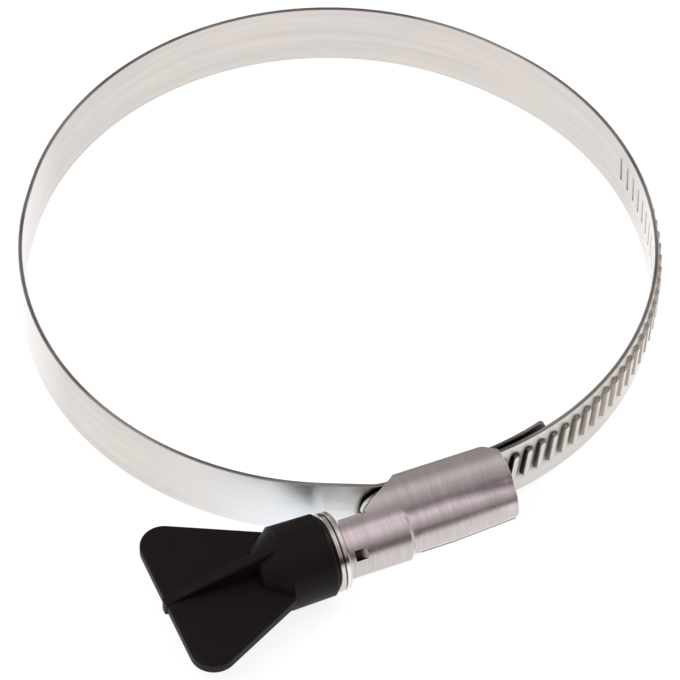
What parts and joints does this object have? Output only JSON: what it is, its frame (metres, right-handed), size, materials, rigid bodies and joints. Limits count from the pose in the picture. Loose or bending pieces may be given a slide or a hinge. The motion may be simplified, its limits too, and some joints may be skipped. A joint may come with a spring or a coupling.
{
  "type": "wing nut hose clamp",
  "caption": "Worm drive hose clamp: a steel strip with a pressed thread, a folded housing and a worm screw that is turned by a wing-shaped plastic grip.",
  "frame": {"origin": "centre of the hose circle at the middle of the strip's width", "axes": "+Z along the hose, +X along the screw from its grip to its tip, +Y from the housing towards the hose's far side"},
  "size_m": [0.1045, 0.1206, 0.0138],
  "materials": {
    "strip_steel": "satin, drawn along the strip",
    "housing_steel": "satin, drawn along the screw",
    "screw_steel": "bright turned",
    "grip_plastic": "fine moulded texture"
  },
  "bodies": {
    "clamp": {"band": "strip_steel", "housing": "housing_steel"},
    "screw": {"worm_screw": "screw_steel", "wing_grip": "grip_plastic"}
  },
  "joints": [
    {"name": "screw_turn", "type": "hinge", "parent": "clamp", "child": "screw", "pos_m": [0, -0.056, 0], "axis": [1, 0, 0], "continuous": true, "deforming": ["band"]}
  ]
}
